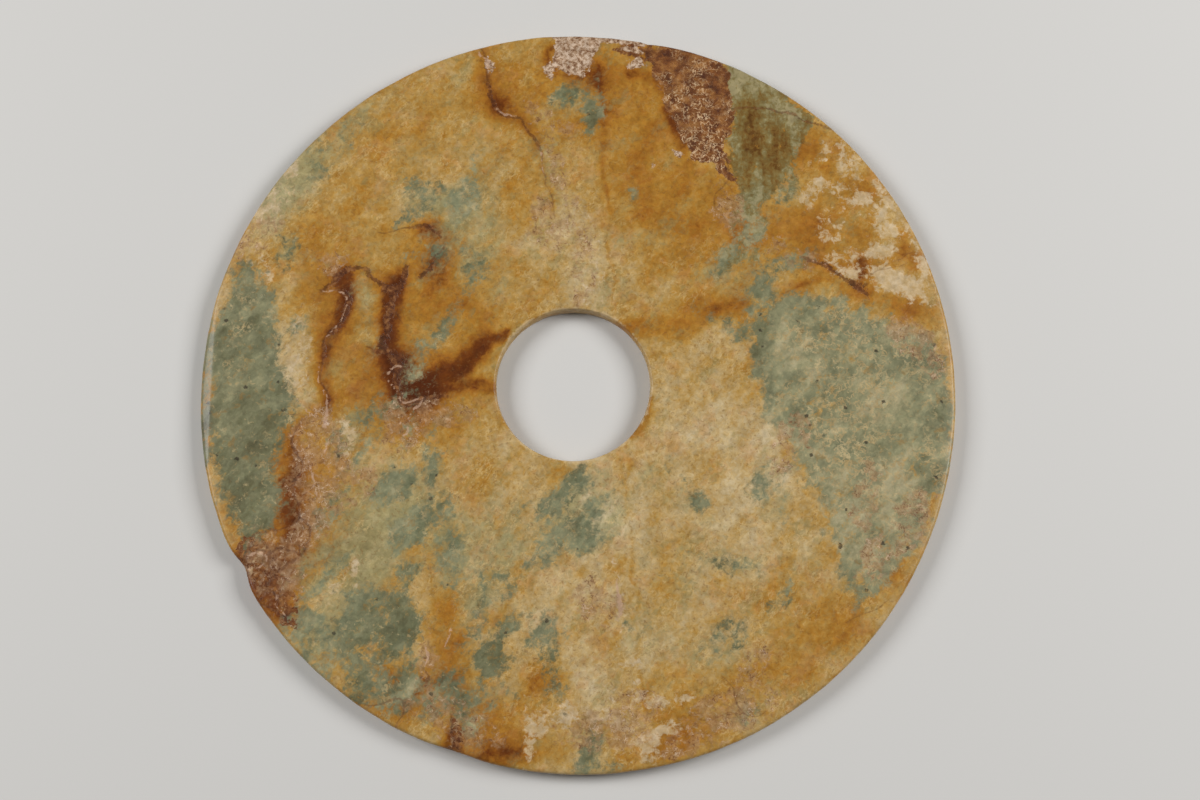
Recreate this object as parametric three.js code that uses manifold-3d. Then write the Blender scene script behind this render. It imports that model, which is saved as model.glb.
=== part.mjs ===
// A bi, the flat ritual disc of early China: one slab of jade, sawn from a boulder, ground round and drilled
// through the middle. It lies on its back face.
// Millimetres and radians, +Z up. The origin is on the underside, below the middle of the outline.
import * as THREE from "three";
import { mergeVertices } from "three/addons/utils/BufferGeometryUtils.js";
import Module from "manifold-3d";

const deg = THREE.MathUtils.degToRad;

// The ground slab
const DISC_RADIUS = 140.4;
const THICKNESS = 7;
const RIM_SEGMENTS = 180;

// Grinding by hand leaves the outline a little lobed: each lobe count swells it by so much, first at this angle
const GROUND_LOBES = [
  { count: 2, swell: 0.18, at: deg(-73) },
  { count: 3, swell: 0.22, at: deg(52) },
  { count: 4, swell: 0.2, at: deg(33) },
];
// Stretches of soft, weathered rim have worn away further
const WORN_STRETCHES = [
  { at: deg(84), halfWidth: deg(8), depth: 0.6 },
  { at: deg(78), halfWidth: deg(2.5), depth: 0.5 },
  { at: deg(252), halfWidth: deg(4), depth: 0.8 },
  { at: deg(209), halfWidth: deg(2.5), depth: 2 },
];

// The face falls away a little before the rim, and both edges of the rim are rubbed round
const SHOULDER_WIDTH = 6;
const SHOULDER_DROP = 0.3;
const EDGE_ROUND = 1.4;
const EDGE_STEPS = 3;

// The perforation is drilled from both faces: two tapered bores that meet inside, not quite in line
const BORE_TAPER = 0.4;
const BORE_LIP = 0.5;
const BORE_SEGMENTS = 120;
const BORES = [
  { face: "upper", mouthRadius: 28.9, centre: [-1.95, 0.85], depth: 4.0 },
  { face: "lower", mouthRadius: 28.8, centre: [-2.25, 1.15], depth: THICKNESS - 3.6 },
];

// A straight mark where two saw cuts met: steep on its left side, and a long easy slope on its right
const SAW_MARK = { offset: 16, lean: deg(3.9), depth: 0.35, steepWidth: 0.5, easyWidth: 3, overrun: 10 };

// Flat left on the rim by the boulder slab's own sawn side
const SLAB_SIDE = { at: deg(181), chordInset: 4.8, drop: 1.3 };

// Bites out of the upper edge of the rim
const RIM_CHIPS = [
  { at: deg(208.5), length: 6.5, bite: 1.3 },
  { at: deg(243.8), length: 2.6, bite: 0.8 },
  { at: deg(251), length: 4.0, bite: 0.7 },
  { at: deg(79), length: 4.0, bite: 0.8 },
  { at: deg(217.5), length: 3.4, bite: 0.8 },
];

const wasm = await Module();
wasm.setup();

// A closed geometry as a manifold solid: its shared corners merged, and triangles that collapse on the axis left out
function solidOf(geometry) {
  const bare = geometry.clone();
  bare.deleteAttribute("normal");
  bare.deleteAttribute("uv");
  const merged = mergeVertices(bare, 1e-4);
  const index = merged.index.array;
  const corners = [];
  for (let i = 0; i < index.length; i += 3) {
    const [a, b, c] = index.slice(i, i + 3);
    if (a !== b && b !== c && c !== a) corners.push(a, b, c);
  }
  return new wasm.Manifold(
    new wasm.Mesh({
      numProp: 3,
      vertProperties: new Float32Array(merged.attributes.position.array),
      triVerts: new Uint32Array(corners),
    }),
  );
}

function geometryOf(solid) {
  const made = solid.getMesh();
  const geometry = new THREE.BufferGeometry();
  geometry.setAttribute("position", new THREE.BufferAttribute(made.vertProperties, 3));
  geometry.setIndex(new THREE.BufferAttribute(made.triVerts, 1));
  geometry.computeVertexNormals();
  return geometry;
}

// Turns a profile of [radius, height] points round the Z axis
function turned(profile, segments) {
  const points = profile.map(([radius, height]) => new THREE.Vector2(radius, height));
  return new THREE.LatheGeometry(points, segments).rotateX(Math.PI / 2);
}

// How far a worn stretch dips at an angle: a soft hollow, gone a few half-widths away
function wornDip(angle, { at, halfWidth, depth }) {
  const away = Math.atan2(Math.sin(angle - at), Math.cos(angle - at));
  return depth * Math.exp(-((away / halfWidth) ** 2));
}

// The outline's radius at an angle: the mean radius and its lobes, less the worn stretches
function outlineRadius(angle) {
  const swell = GROUND_LOBES.reduce((sum, { count, swell, at }) => sum + swell * Math.cos(count * (angle - at)), 0);
  const worn = WORN_STRETCHES.reduce((sum, stretch) => sum + wornDip(angle, stretch), 0);
  return DISC_RADIUS + swell - worn;
}

// A quarter round from one angle to the next, as [radius, height] points about a centre
function roundedEdge(centreRadius, centreHeight, from, to) {
  return Array.from({ length: EDGE_STEPS + 1 }, (_, i) => {
    const angle = THREE.MathUtils.lerp(from, to, i / EDGE_STEPS);
    return [centreRadius + EDGE_ROUND * Math.cos(angle), centreHeight + EDGE_ROUND * Math.sin(angle)];
  });
}

// The ground slab before drilling, with its rim pushed in and out to the hand-ground outline
function groundSlab() {
  const edgeRadius = DISC_RADIUS - EDGE_ROUND;
  const profile = [
    [0, 0],
    ...roundedEdge(edgeRadius, EDGE_ROUND, deg(-90), 0),
    ...roundedEdge(edgeRadius, THICKNESS - SHOULDER_DROP - EDGE_ROUND, 0, deg(90)),
    [DISC_RADIUS - SHOULDER_WIDTH, THICKNESS],
    [0, THICKNESS],
  ];
  const geometry = turned(profile, RIM_SEGMENTS);
  const place = geometry.attributes.position;
  for (let i = 0; i < place.count; i++) {
    const angle = Math.atan2(place.getY(i), place.getX(i));
    const stretch = outlineRadius(angle) / DISC_RADIUS;
    place.setXY(i, place.getX(i) * stretch, place.getY(i) * stretch);
  }
  return solidOf(geometry);
}

// One of the two tapered bores, as the plug of stone that it removes, with its lip rubbed round
function borePlug({ face, mouthRadius, centre, depth }) {
  const beyond = 2;
  const profile = [
    [0, -depth],
    [mouthRadius - BORE_TAPER, -depth],
    [mouthRadius, -BORE_LIP],
    [mouthRadius + BORE_LIP * 0.3, -BORE_LIP * 0.3],
    [mouthRadius + BORE_LIP, 0],
    [mouthRadius + BORE_LIP + beyond, beyond],
    [0, beyond],
  ];
  const geometry = turned(profile, BORE_SEGMENTS);
  if (face === "lower") geometry.rotateX(Math.PI);
  geometry.translate(centre[0], centre[1], face === "upper" ? THICKNESS : 0);
  return solidOf(geometry);
}

// A long bar whose section is the saw mark's uneven V, laid along the leaning line
function sawMarkBar() {
  const { offset, lean, depth, steepWidth, easyWidth, overrun } = SAW_MARK;
  const above = 1;
  const section = new THREE.Shape([
    new THREE.Vector2(0, -depth),
    new THREE.Vector2(easyWidth, 0),
    new THREE.Vector2(easyWidth, above),
    new THREE.Vector2(-steepWidth, above),
    new THREE.Vector2(-steepWidth, 0),
  ]);
  const length = 2 * (DISC_RADIUS + overrun);
  const bar = new THREE.ExtrudeGeometry(section, { depth: length, bevelEnabled: false, steps: 1 });
  bar.translate(0, 0, -length / 2).rotateX(Math.PI / 2).rotateZ(lean).translate(offset, 0, THICKNESS);
  return solidOf(bar);
}

// The block outside the old sawn side: it starts at a chord of the upper face and dips towards the rim
function slabSideBlock() {
  const { at, chordInset, drop } = SLAB_SIDE;
  const size = 80;
  const block = new THREE.BoxGeometry(size, size * 2, size);
  block.translate(size / 2, 0, size / 2).rotateY(Math.atan2(drop, chordInset));
  block.translate(DISC_RADIUS - chordInset, 0, THICKNESS).rotateZ(at);
  return solidOf(block);
}

// A chip's hollow: a flattened, faceted ball sunk into the upper edge
function chipBall({ at, length, bite }) {
  const ball = new THREE.IcosahedronGeometry(1, 1);
  ball.scale(bite * 1.6, length / 2, bite * 1.3).rotateZ(deg(20));
  ball.translate(outlineRadius(at) + bite * 0.35, 0, THICKNESS - SHOULDER_DROP).rotateZ(at);
  return solidOf(ball);
}

function carvedDisc() {
  const cuts = [...BORES.map(borePlug), sawMarkBar(), slabSideBlock(), ...RIM_CHIPS.map(chipBall)];
  return cuts.reduce((stone, cut) => stone.subtract(cut), groundSlab());
}

// The lobes and chips shift the outline's middle a little, so the disc is set back over the origin
function centred(geometry) {
  geometry.computeBoundingBox();
  const middle = geometry.boundingBox.getCenter(new THREE.Vector3());
  return geometry.translate(-middle.x, -middle.y, -geometry.boundingBox.min.z);
}

const jade = new THREE.MeshStandardMaterial({ color: 0xb79a62, roughness: 0.45, metalness: 0 });
const disc = new THREE.Mesh(centred(geometryOf(carvedDisc())), jade);
disc.name = "bi_disc";

const bi = new THREE.Group();
bi.add(disc);

export default bi;
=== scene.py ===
import math

import bpy
import numpy as np
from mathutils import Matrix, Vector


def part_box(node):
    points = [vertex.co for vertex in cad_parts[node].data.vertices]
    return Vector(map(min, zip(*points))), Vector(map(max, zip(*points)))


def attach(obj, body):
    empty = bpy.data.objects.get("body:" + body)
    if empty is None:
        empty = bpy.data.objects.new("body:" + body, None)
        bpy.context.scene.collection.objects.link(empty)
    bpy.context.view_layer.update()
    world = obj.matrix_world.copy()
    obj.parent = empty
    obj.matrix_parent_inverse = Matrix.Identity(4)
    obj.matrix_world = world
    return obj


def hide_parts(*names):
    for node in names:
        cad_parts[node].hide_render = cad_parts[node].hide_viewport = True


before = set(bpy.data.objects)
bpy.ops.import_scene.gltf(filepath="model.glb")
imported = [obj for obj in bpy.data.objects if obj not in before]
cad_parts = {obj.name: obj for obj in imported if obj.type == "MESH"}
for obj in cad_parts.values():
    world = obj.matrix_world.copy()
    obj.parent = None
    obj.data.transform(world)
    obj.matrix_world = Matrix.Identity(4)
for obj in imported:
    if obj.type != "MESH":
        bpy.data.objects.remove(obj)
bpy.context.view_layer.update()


# ----------------------------------------------------------------------------------------------------------
# Camera: a 50 mm lens on a full-frame body, a little over two diameters above the disc and tipped back
# from straight overhead. It aims at the upper face, a little off the disc's middle.

disc_low, disc_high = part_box("bi_disc")
CAMERA_TILT = math.radians(12.37)
CAMERA_DISTANCE = 0.6158
AIM_OFF_MIDDLE = (0.0082, -0.0050)

camera_data = bpy.data.cameras.new("camera")
camera_data.lens = 50
camera_data.sensor_width = 36
camera = bpy.data.objects.new("camera", camera_data)
camera.location = (
    AIM_OFF_MIDDLE[0],
    AIM_OFF_MIDDLE[1] - CAMERA_DISTANCE * math.sin(CAMERA_TILT),
    disc_high[2] + CAMERA_DISTANCE * math.cos(CAMERA_TILT),
)
camera.rotation_euler = (CAMERA_TILT, 0, 0)
bpy.context.collection.objects.link(camera)
bpy.context.scene.camera = camera


# ----------------------------------------------------------------------------------------------------------
# The bi: one slab of nephrite, sawn from a boulder, ground round and drilled from both sides. It is a ring
# closed under itself, whose faces are then worn, sawn and pitted, in millimetres in the CAD frame. The
# stone's zones are fields worked out at its vertices, and the material breaks their edges up.

MM = 0.001
THICKNESS = (disc_high[2] - disc_low[2]) / MM
MEAN_RADIUS = 140.4
LOBES = ((2, 0.18, -73), (3, 0.22, 52), (4, 0.20, 33))
WORN_STRETCHES = ((84, 8, 0.6), (78, 2.5, 0.5), (252, 4, 0.8), (209, 2.5, 2.0))
HOLE_MIDDLE = (-1.95, 0.85)
HOLE_MOUTH = 28.9
HOLE_WAIST = 28.5
EDGE_ROUND = 1.4
SHOULDER_WIDTH = 6.0
SHOULDER_DROP = 0.3
LIP_ROUND = 0.5
FACE_WIDTH = 110
AROUND = 620
NOISE_CELLS = 64


def cloud(x, y, cell, seed):
    """Soft noise from -1 to 1: random numbers at the corners of square cells, blended by a smooth step."""
    corners = np.random.default_rng(seed).uniform(-1, 1, (NOISE_CELLS, NOISE_CELLS))
    u = x / cell + 97.3
    v = y / cell + 61.7
    column = np.floor(u).astype(int)
    row = np.floor(v).astype(int)
    s = (u - column) ** 2 * (3 - 2 * (u - column))
    t = (v - row) ** 2 * (3 - 2 * (v - row))
    left, right = column % NOISE_CELLS, (column + 1) % NOISE_CELLS
    low, high = row % NOISE_CELLS, (row + 1) % NOISE_CELLS
    near = corners[left, low] * (1 - s) + corners[right, low] * s
    far = corners[left, high] * (1 - s) + corners[right, high] * s
    return near * (1 - t) + far * t


def outline_radius(angle):
    """The rim's distance from the middle: a mean, plus a cosine for each lobe, less a bell for each worn
    stretch."""
    radius = np.full_like(angle, MEAN_RADIUS)
    for count, swell, at in LOBES:
        radius += swell * np.cos(count * (angle - math.radians(at)))
    for at, half_width, depth in WORN_STRETCHES:
        away = np.angle(np.exp(1j * (angle - math.radians(at))))
        radius -= depth * np.exp(-((away / math.radians(half_width)) ** 2))
    return radius


def quarter_round(radius, middle_push, middle_z, start, end, steps):
    """Points (1, push, z) round a quarter circle in the rim's section, from one angle to another."""
    turn = np.radians(np.linspace(start, end, steps))
    return [(1.0, middle_push + radius * math.cos(a), middle_z + radius * math.sin(a)) for a in turn]


def ring_section():
    """The closed section of the ring as rows (s, push, z): s runs from 0 at the hole to 1 at the rim, and
    push is millimetres outwards from there. It goes out over the upper face, down the rim, back under, and
    up the wall of the hole."""
    shoulder_start = 1 - SHOULDER_WIDTH / FACE_WIDTH
    top = [(s, LIP_ROUND * (1 - s), THICKNESS) for s in np.linspace(0, shoulder_start, 96)]
    shoulder_s = np.linspace(shoulder_start, 1, 9)[1:-1]
    shoulder_t = np.linspace(0, 1, 9)[1:-1]
    top += [(s, -EDGE_ROUND * t, THICKNESS - SHOULDER_DROP * t * t) for s, t in zip(shoulder_s, shoulder_t)]
    upper_edge = quarter_round(EDGE_ROUND, -EDGE_ROUND, THICKNESS - SHOULDER_DROP - EDGE_ROUND, 90, 0, 6)
    lower_edge = quarter_round(EDGE_ROUND, -EDGE_ROUND, EDGE_ROUND, 0, -90, 6)
    rim = [(1.0, 0.0, z) for z in np.linspace(upper_edge[-1][2], lower_edge[0][2], 5)[1:-1]]
    under = [(s, LIP_ROUND * (1 - s) - EDGE_ROUND * s, 0.0) for s in np.linspace(1, 0, 30)[1:]]
    wall_z = np.linspace(LIP_ROUND, THICKNESS - LIP_ROUND, 7)
    taper = np.abs(wall_z / THICKNESS - 0.5) * 2
    wall = [(0.0, (HOLE_WAIST - HOLE_MOUTH) * (1 - t), z) for z, t in zip(wall_z, taper)]
    lips = [(0.0, 0.15, 0.15), (0.0, 0.15, THICKNESS - 0.15)]
    return np.array(top + upper_edge + rim + lower_edge + under + lips[:1] + wall + lips[1:])


def ring_points(section):
    """The ring's points: at each angle the section's s slides from the hole's circle to the outline, and
    push moves it outwards along the radius. Returns x, y and z as arrays of section rows by angles."""
    angle = np.arange(AROUND) * 2 * math.pi / AROUND
    s = section[:, 0:1]
    push = section[:, 1:2]
    outwards = outline_radius(angle)
    x = (1 - s) * (HOLE_MIDDLE[0] + HOLE_MOUTH * np.cos(angle)) + (s * outwards + push) * np.cos(angle)
    y = (1 - s) * (HOLE_MIDDLE[1] + HOLE_MOUTH * np.sin(angle)) + (s * outwards + push) * np.sin(angle)
    z = section[:, 2:3] + 0 * x
    return x, y, z


section = ring_section()
x, y, z = ring_points(section)
x += (disc_low[0] + disc_high[0]) / MM / 2 - (x.min() + x.max()) / 2
y += (disc_low[1] + disc_high[1]) / MM / 2 - (y.min() + y.max()) / 2
upper_side = np.clip((z - THICKNESS / 2) / (THICKNESS / 2 - EDGE_ROUND), 0, 1)
lower_side = np.clip((THICKNESS / 2 - z) / (THICKNESS / 2 - EDGE_ROUND), 0, 1)

# The stone's zones run down through the slab and lean, so the back shows them shifted and changed
depth = THICKNESS - z
stone_x = x + depth * (0.8 + 1.1 * cloud(x, y, 30, 11))
stone_y = y + depth * (-0.5 + 1.1 * cloud(x, y, 30, 12))
drifted_x = stone_x + 1.1 * cloud(stone_x, stone_y, 9, 1) + 0.7 * cloud(stone_x, stone_y, 4, 2)
drifted_y = stone_y + 1.1 * cloud(stone_x, stone_y, 9, 3) + 0.7 * cloud(stone_x, stone_y, 4, 4)


def oval_reach(middle_x, middle_y, half_length, half_width, lean):
    """How far out each point lies in an oval that leans by some degrees: 0 in its middle, 1 on its edge."""
    c, s = math.cos(math.radians(lean)), math.sin(math.radians(lean))
    along = ((drifted_x - middle_x) * c + (drifted_y - middle_y) * s) / half_length
    across = ((drifted_y - middle_y) * c - (drifted_x - middle_x) * s) / half_width
    return np.hypot(along, across)


def tinted(ovals):
    """The sum of soft ovals (amount, x, y, half length, half width, lean), each amount / (1 + reach^4)."""
    total = np.zeros_like(x)
    for amount, *oval in ovals:
        total += amount / (1 + oval_reach(*oval) ** 4)
    return total


def outline_depth(points):
    """How many millimetres inside a closed outline each point lies, below 0 outside: the distance to the
    nearest side, and inside where a line to the right crosses an odd number of sides."""
    away = np.full_like(x, 1e3)
    within = np.zeros(x.shape, bool)
    for (ax, ay), (bx, by) in zip(points, points[1:] + points[:1]):
        from_x, from_y = drifted_x - ax, drifted_y - ay
        side_x, side_y = bx - ax, by - ay
        t = np.clip((from_x * side_x + from_y * side_y) / (side_x**2 + side_y**2), 0, 1)
        away = np.minimum(away, np.hypot(from_x - t * side_x, from_y - t * side_y))
        straddled = (ay > drifted_y) != (by > drifted_y)
        within ^= straddled & ((from_x * side_y < side_x * from_y) == (side_y > 0))
    return np.where(within, away, -away)


def depth_into(zones):
    """How many millimetres inside the nearest of some zones each point lies, at least -12. A zone is its
    fill, which is the most it counts for, then an outline's corners or an oval's five numbers."""
    deepest = np.full_like(x, -12.0)
    for fill, *shape in zones:
        if isinstance(shape[0], tuple):
            into = outline_depth(tuple(shape))
        else:
            into = (1 - oval_reach(*shape)) * shape[3]
        deepest = np.maximum(deepest, np.minimum(into, fill))
    return deepest


def rounded_line(points, passes=2):
    """A line of (x, y, half width) points with its corners cut twice, each cut leaving points a quarter and
    three quarters of the way along every stretch."""
    line = np.array(points, float)
    for _ in range(passes):
        near = line[:-1] * 0.75 + line[1:] * 0.25
        far = line[:-1] * 0.25 + line[1:] * 0.75
        line = np.concatenate([line[:1], np.stack([near, far], 1).reshape(-1, 3), line[-1:]])
    return line


def nearest_on_lines(lines, wander=0.6):
    """For each point, on the nearest of the lines: how far away it is, how far to the line's left, and the
    half width there. The lines wander with a fine noise."""
    px = stone_x + wander * (1.8 * cloud(stone_x, stone_y, 8, 20) + cloud(stone_x, stone_y, 3, 22))
    py = stone_y + wander * (1.8 * cloud(stone_x, stone_y, 8, 23) + cloud(stone_x, stone_y, 3, 24))
    away = np.full_like(x, 1e3)
    across = np.full_like(x, 1e3)
    half_width = np.ones_like(x)
    for points in lines:
        line = rounded_line(points)
        for (ax, ay, aw), (bx, by, bw) in zip(line[:-1], line[1:]):
            length = math.hypot(bx - ax, by - ay)
            tx, ty = (bx - ax) / length, (by - ay) / length
            t = np.clip(((px - ax) * tx + (py - ay) * ty) / length, 0, 1)
            distance = np.hypot(px - ax - t * length * tx, py - ay - t * length * ty)
            nearer = distance - aw < away - half_width
            away = np.where(nearer, distance, away)
            half_width = np.where(nearer, aw + t * (bw - aw), half_width)
            across = np.where(nearer, (py - ay) * tx - (px - ax) * ty, across)
    return away, across, half_width


# Iron has crept into the stone, and turns it from cream at 0.3 through honey at 0.5 and ochre at 0.65 to
# brown at 0.9. Each oval adds to the plain stone's
PLAIN_IRON = 0.43
IRON = (
    # honey and ochre over the upper half
    (0.07, -30, 108, 70, 28, 5), (0.04, -85, 72, 30, 24, 50), (0.16, -100, 42, 26, 6, 98),
    (0.10, 35, 80, 34, 26, 75), (0.12, 30, 72, 16, 16, 60), (0.10, 18, 108, 24, 10, 90),
    (0.10, -22, 114, 16, 5, 5), (0.08, 0, 104, 8, 10, 90), (0.10, -112, 92, 8, 5, 50),
    (0.12, 26, 98, 8, 6, 60), (0.10, -36, 56, 22, 14, 20), (0.14, -22, 76, 6, 6, 0),
    (0.08, 55, 60, 14, 12, 0), (0.10, 92, 66, 14, 12, 90), (0.16, 86, 92, 9, 6, 60),
    (0.12, -82, 4, 18, 7, 92), (0.02, -84, -6, 8, 6, 0), (0.10, -50, 24, 20, 12, 35),
    (0.12, 96, 58, 16, 6, 0), (0.08, 60, 34, 16, 6, 10),
    # cream in the middle and the lower half
    (-0.13, 0, 52, 24, 16, 100), (-0.10, 45, -18, 28, 20, 90), (-0.06, -15, -42, 26, 10, 0),
    (-0.06, -10, -85, 30, 26, 0), (-0.12, -106, 14, 18, 8, 90), (-0.10, -116, 68, 16, 9, 55),
    (-0.08, -78, -42, 20, 14, 60), (-0.06, 62, -62, 20, 26, 0), (-0.10, -88, -80, 16, 8, 40),
    (-0.08, 0, -110, 14, 12, 0), (-0.08, 22, -98, 10, 8, 0), (-0.10, -104, -3, 6, 5, 0),
    # ochre below right, and brown at the bottom
    (0.08, 88, -88, 34, 13, 40), (0.05, 62, -108, 24, 8, 28), (0.04, 36, -118, 18, 8, 12),
    (0.24, -47, -92, 20, 8, 95), (0.22, -33, -120, 9, 6, 0), (0.20, -26, -129, 12, 5, 10),
    (0.24, -24, -134, 14, 4, 10), (0.16, 124, -44, 16, 6, 70), (0.10, 70, -76, 10, 7, 0),
    (0.12, 110, -64, 8, 10, 60), (0.10, 12, -60, 3, 12, 0), (0.08, 38, -62, 10, 9, 0),
    (0.20, -107, -47, 7, 5, 0), (0.26, -103, -56, 3, 3, 0), (0.30, -112, -74, 18, 10, 125),
    (0.16, -90, -62, 12, 5, 35), (0.10, 130, 26, 6, 10, 60), (0.14, 121, 28, 4, 6, 90),
    (0.12, 66, 26, 8, 4, 0), (0.10, 82, 37, 6, 3, 20), (0.14, 72, 100, 20, 10, 90),
    (0.12, 98, 86, 18, 8, -45), (0.10, 106, 66, 18, 8, 110), (0.24, -60, -4, 11, 5, 0),
    (0.14, -56, 4, 12, 6, 20), (0.10, -68, 12, 10, 8, 90), (0.12, -30, 32, 12, 8, 0),
    (0.06, -52, 32, 10, 8, 0), (-0.12, 10, -48, 12, 24, 0), (-0.10, 60, -25, 14, 24, 0),
    (0.16, -52, -112, 12, 8, 0), (0.16, -12, -108, 8, 7, 0), (0.16, 34, -130, 14, 6, 20),
    (0.10, -70, -112, 12, 8, 0), (0.14, 112, 34, 20, 5, -10), (0.12, 90, 66, 10, 8, 0),
    (-0.06, -20, 60, 26, 14, 0), (-0.06, -50, 72, 16, 10, 0), (-0.10, -110, 78, 14, 8, 60),
    (-0.06, 50, -66, 16, 10, 0), (0.08, -88, 32, 16, 6, 90), (0.10, 112, 48, 8, 4, 0),
    (0.10, 0, 128, 8, 6, 0), (0.10, -6, 130, 20, 7, 0), (0.10, 8, 122, 6, 10, 90),
    (0.06, -76, 24, 4, 12, 90), (0.10, 52, 110, 14, 10, 90), (0.07, 70, 60, 24, 14, 60),
    (0.08, 90, 50, 18, 8, 0), (0.06, -70, 50, 12, 10, 0), (0.10, -50, 50, 12, 10, 0),
    (0.08, -70, 4, 10, 12, 90), (0.09, -64, -14, 14, 9, 20), (0.08, -110, -22, 12, 18, 90),
    (0.09, -92, -38, 12, 14, 90), (0.10, -92, -62, 16, 14, 90), (0.07, -70, -110, 12, 8, 0),
    (0.09, -10, -112, 12, 9, 0), (0.07, 30, -110, 14, 8, 0), (0.10, 34, -130, 16, 6, 10),
    (0.08, 88, -90, 18, 10, 40), (0.07, 50, -30, 8, 12, 60), (-0.08, -30, 32, 8, 6, 0),
    (-0.06, 70, -38, 12, 14, 90), (-0.07, 10, -48, 8, 12, 90), (-0.07, 98, 68, 22, 14, 110),
    (-0.04, 30, 90, 10, 8, 0), (0.06, -52, 48, 9, 8, 0), (0.12, -58, -12, 18, 8, 0),
    (0.08, -34, 28, 8, 6, 0), (0.06, 10, 70, 10, 8, 90), (0.07, -106, -50, 9, 22, 0),
    (0.04, 30, -30, 10, 8, 0), (0.06, 4, 122, 10, 6, 90), (0.05, 130, 30, 8, 8, 0),
    (0.05, -64, 96, 12, 6, 0), (0.06, 70, 62, 14, 10, 0), (0.06, 54, -40, 10, 20, 90),
    (0.06, -70, 12, 8, 14, 90), (0.07, -66, -14, 16, 7, 0), (-0.06, 70, -34, 10, 8, 0),
    (-0.06, 14, -48, 8, 12, 90), (0.07, -60, -110, 10, 8, 0), (0.06, -34, -110, 12, 8, 0),
    (0.07, -10, -130, 10, 5, 0), (0.06, -110, -70, 8, 10, 0), (0.10, -94, -32, 10, 14, 90),
    (0.06, -38, 12, 11, 5, 42), (-0.12, -80, 20, 5, 14, 90),
    (0.06, -70, 28, 5, 10, 90),
    # rusty spots
    (0.36, 107, 45, 4.5, 3.2, 80), (0.24, 30, 131, 13, 4, -18), (0.30, -44, -127, 7, 3, 95),
    (0.30, -27, -54, 4, 1.6, 75), (0.22, 127, 49, 4, 2.5, 80), (0.22, -118, -66, 8, 5, -40),
    (0.20, 37, 100, 12, 2.5, 110), (0.24, -54, 61, 5, 3.4, 20), (0.16, 110, 76, 6, 3, -20),
    (0.16, 124, 58, 3, 4, 0), (0.18, 122, 53, 3, 2, 0), (0.34, -137, -13, 5, 2.5, 90),
    (0.36, -137, -25, 3, 2, 90), (0.10, -138, 0, 30, 3, 90),
)
WHITE = (
    (0.5, (89, 87), (95, 91), (100, 84), (106, 89), (102, 95), (94, 95)), (0.5, 104, 86, 5, 4, -40),
    (0.5, 88, 75, 4, 3, 60), (0, 93, 78, 4, 2, -40), (0.5, 106, 73, 6, 2, -50),
    (1.5, 112, 69, 7, 3.0, -50), (1, 117, 61, 5, 2.6, -30),
    (2.5, (109, 58), (116, 58), (120, 54), (120, 49), (112, 49), (108, 52)), (1, 95, 57, 4, 2.4, -20),
    (1.5, 101, 44, 4.5, 2.0, 0), (0.5, 119, 71, 8, 1.4, -52),
    (3, (109, 47), (118, 47), (128, 44), (133, 36), (131, 32), (122, 34), (113, 38), (108, 42)),
    (0.5, 129, 50, 8, 1.6, 108), (0, 98, 50, 6, 1.6, 10), (-1, 98, 68, 10, 4, 60),
    (2, 29, -115, 7, 2.4, 15), (1.5, -17, -126, 8, 1.4, 90), (1, 28, -127, 9, 2.6, 20),
    (0.5, 25, -134, 8, 2, 25), (0.5, 10, -121, 7, 2.2, -20), (2, 15, -80, 6, 1, 97),
    (0.5, -12, -124, 5, 1.4, 0), (0.5, -84, -20, 6, 2.4, 110), (0, -104, 12, 12, 3.4, 90),
    (1.5, -116, -64, 4, 1.2, 60), (0.5, 115, 78, 5, 1.2, -50), (-1, 4, 50, 14, 4, 95),
    (-1, 18, -110, 8, 10, 0), (0, -114, 74, 13, 5, 60), (0.4, 0, -120, 14, 4, 0),
    (-1.5, -100, -84, 6, 4, 30), (-1, -84, -72, 8, 3, 40), (-1, -120, 40, 8, 4, 90),
)

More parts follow.
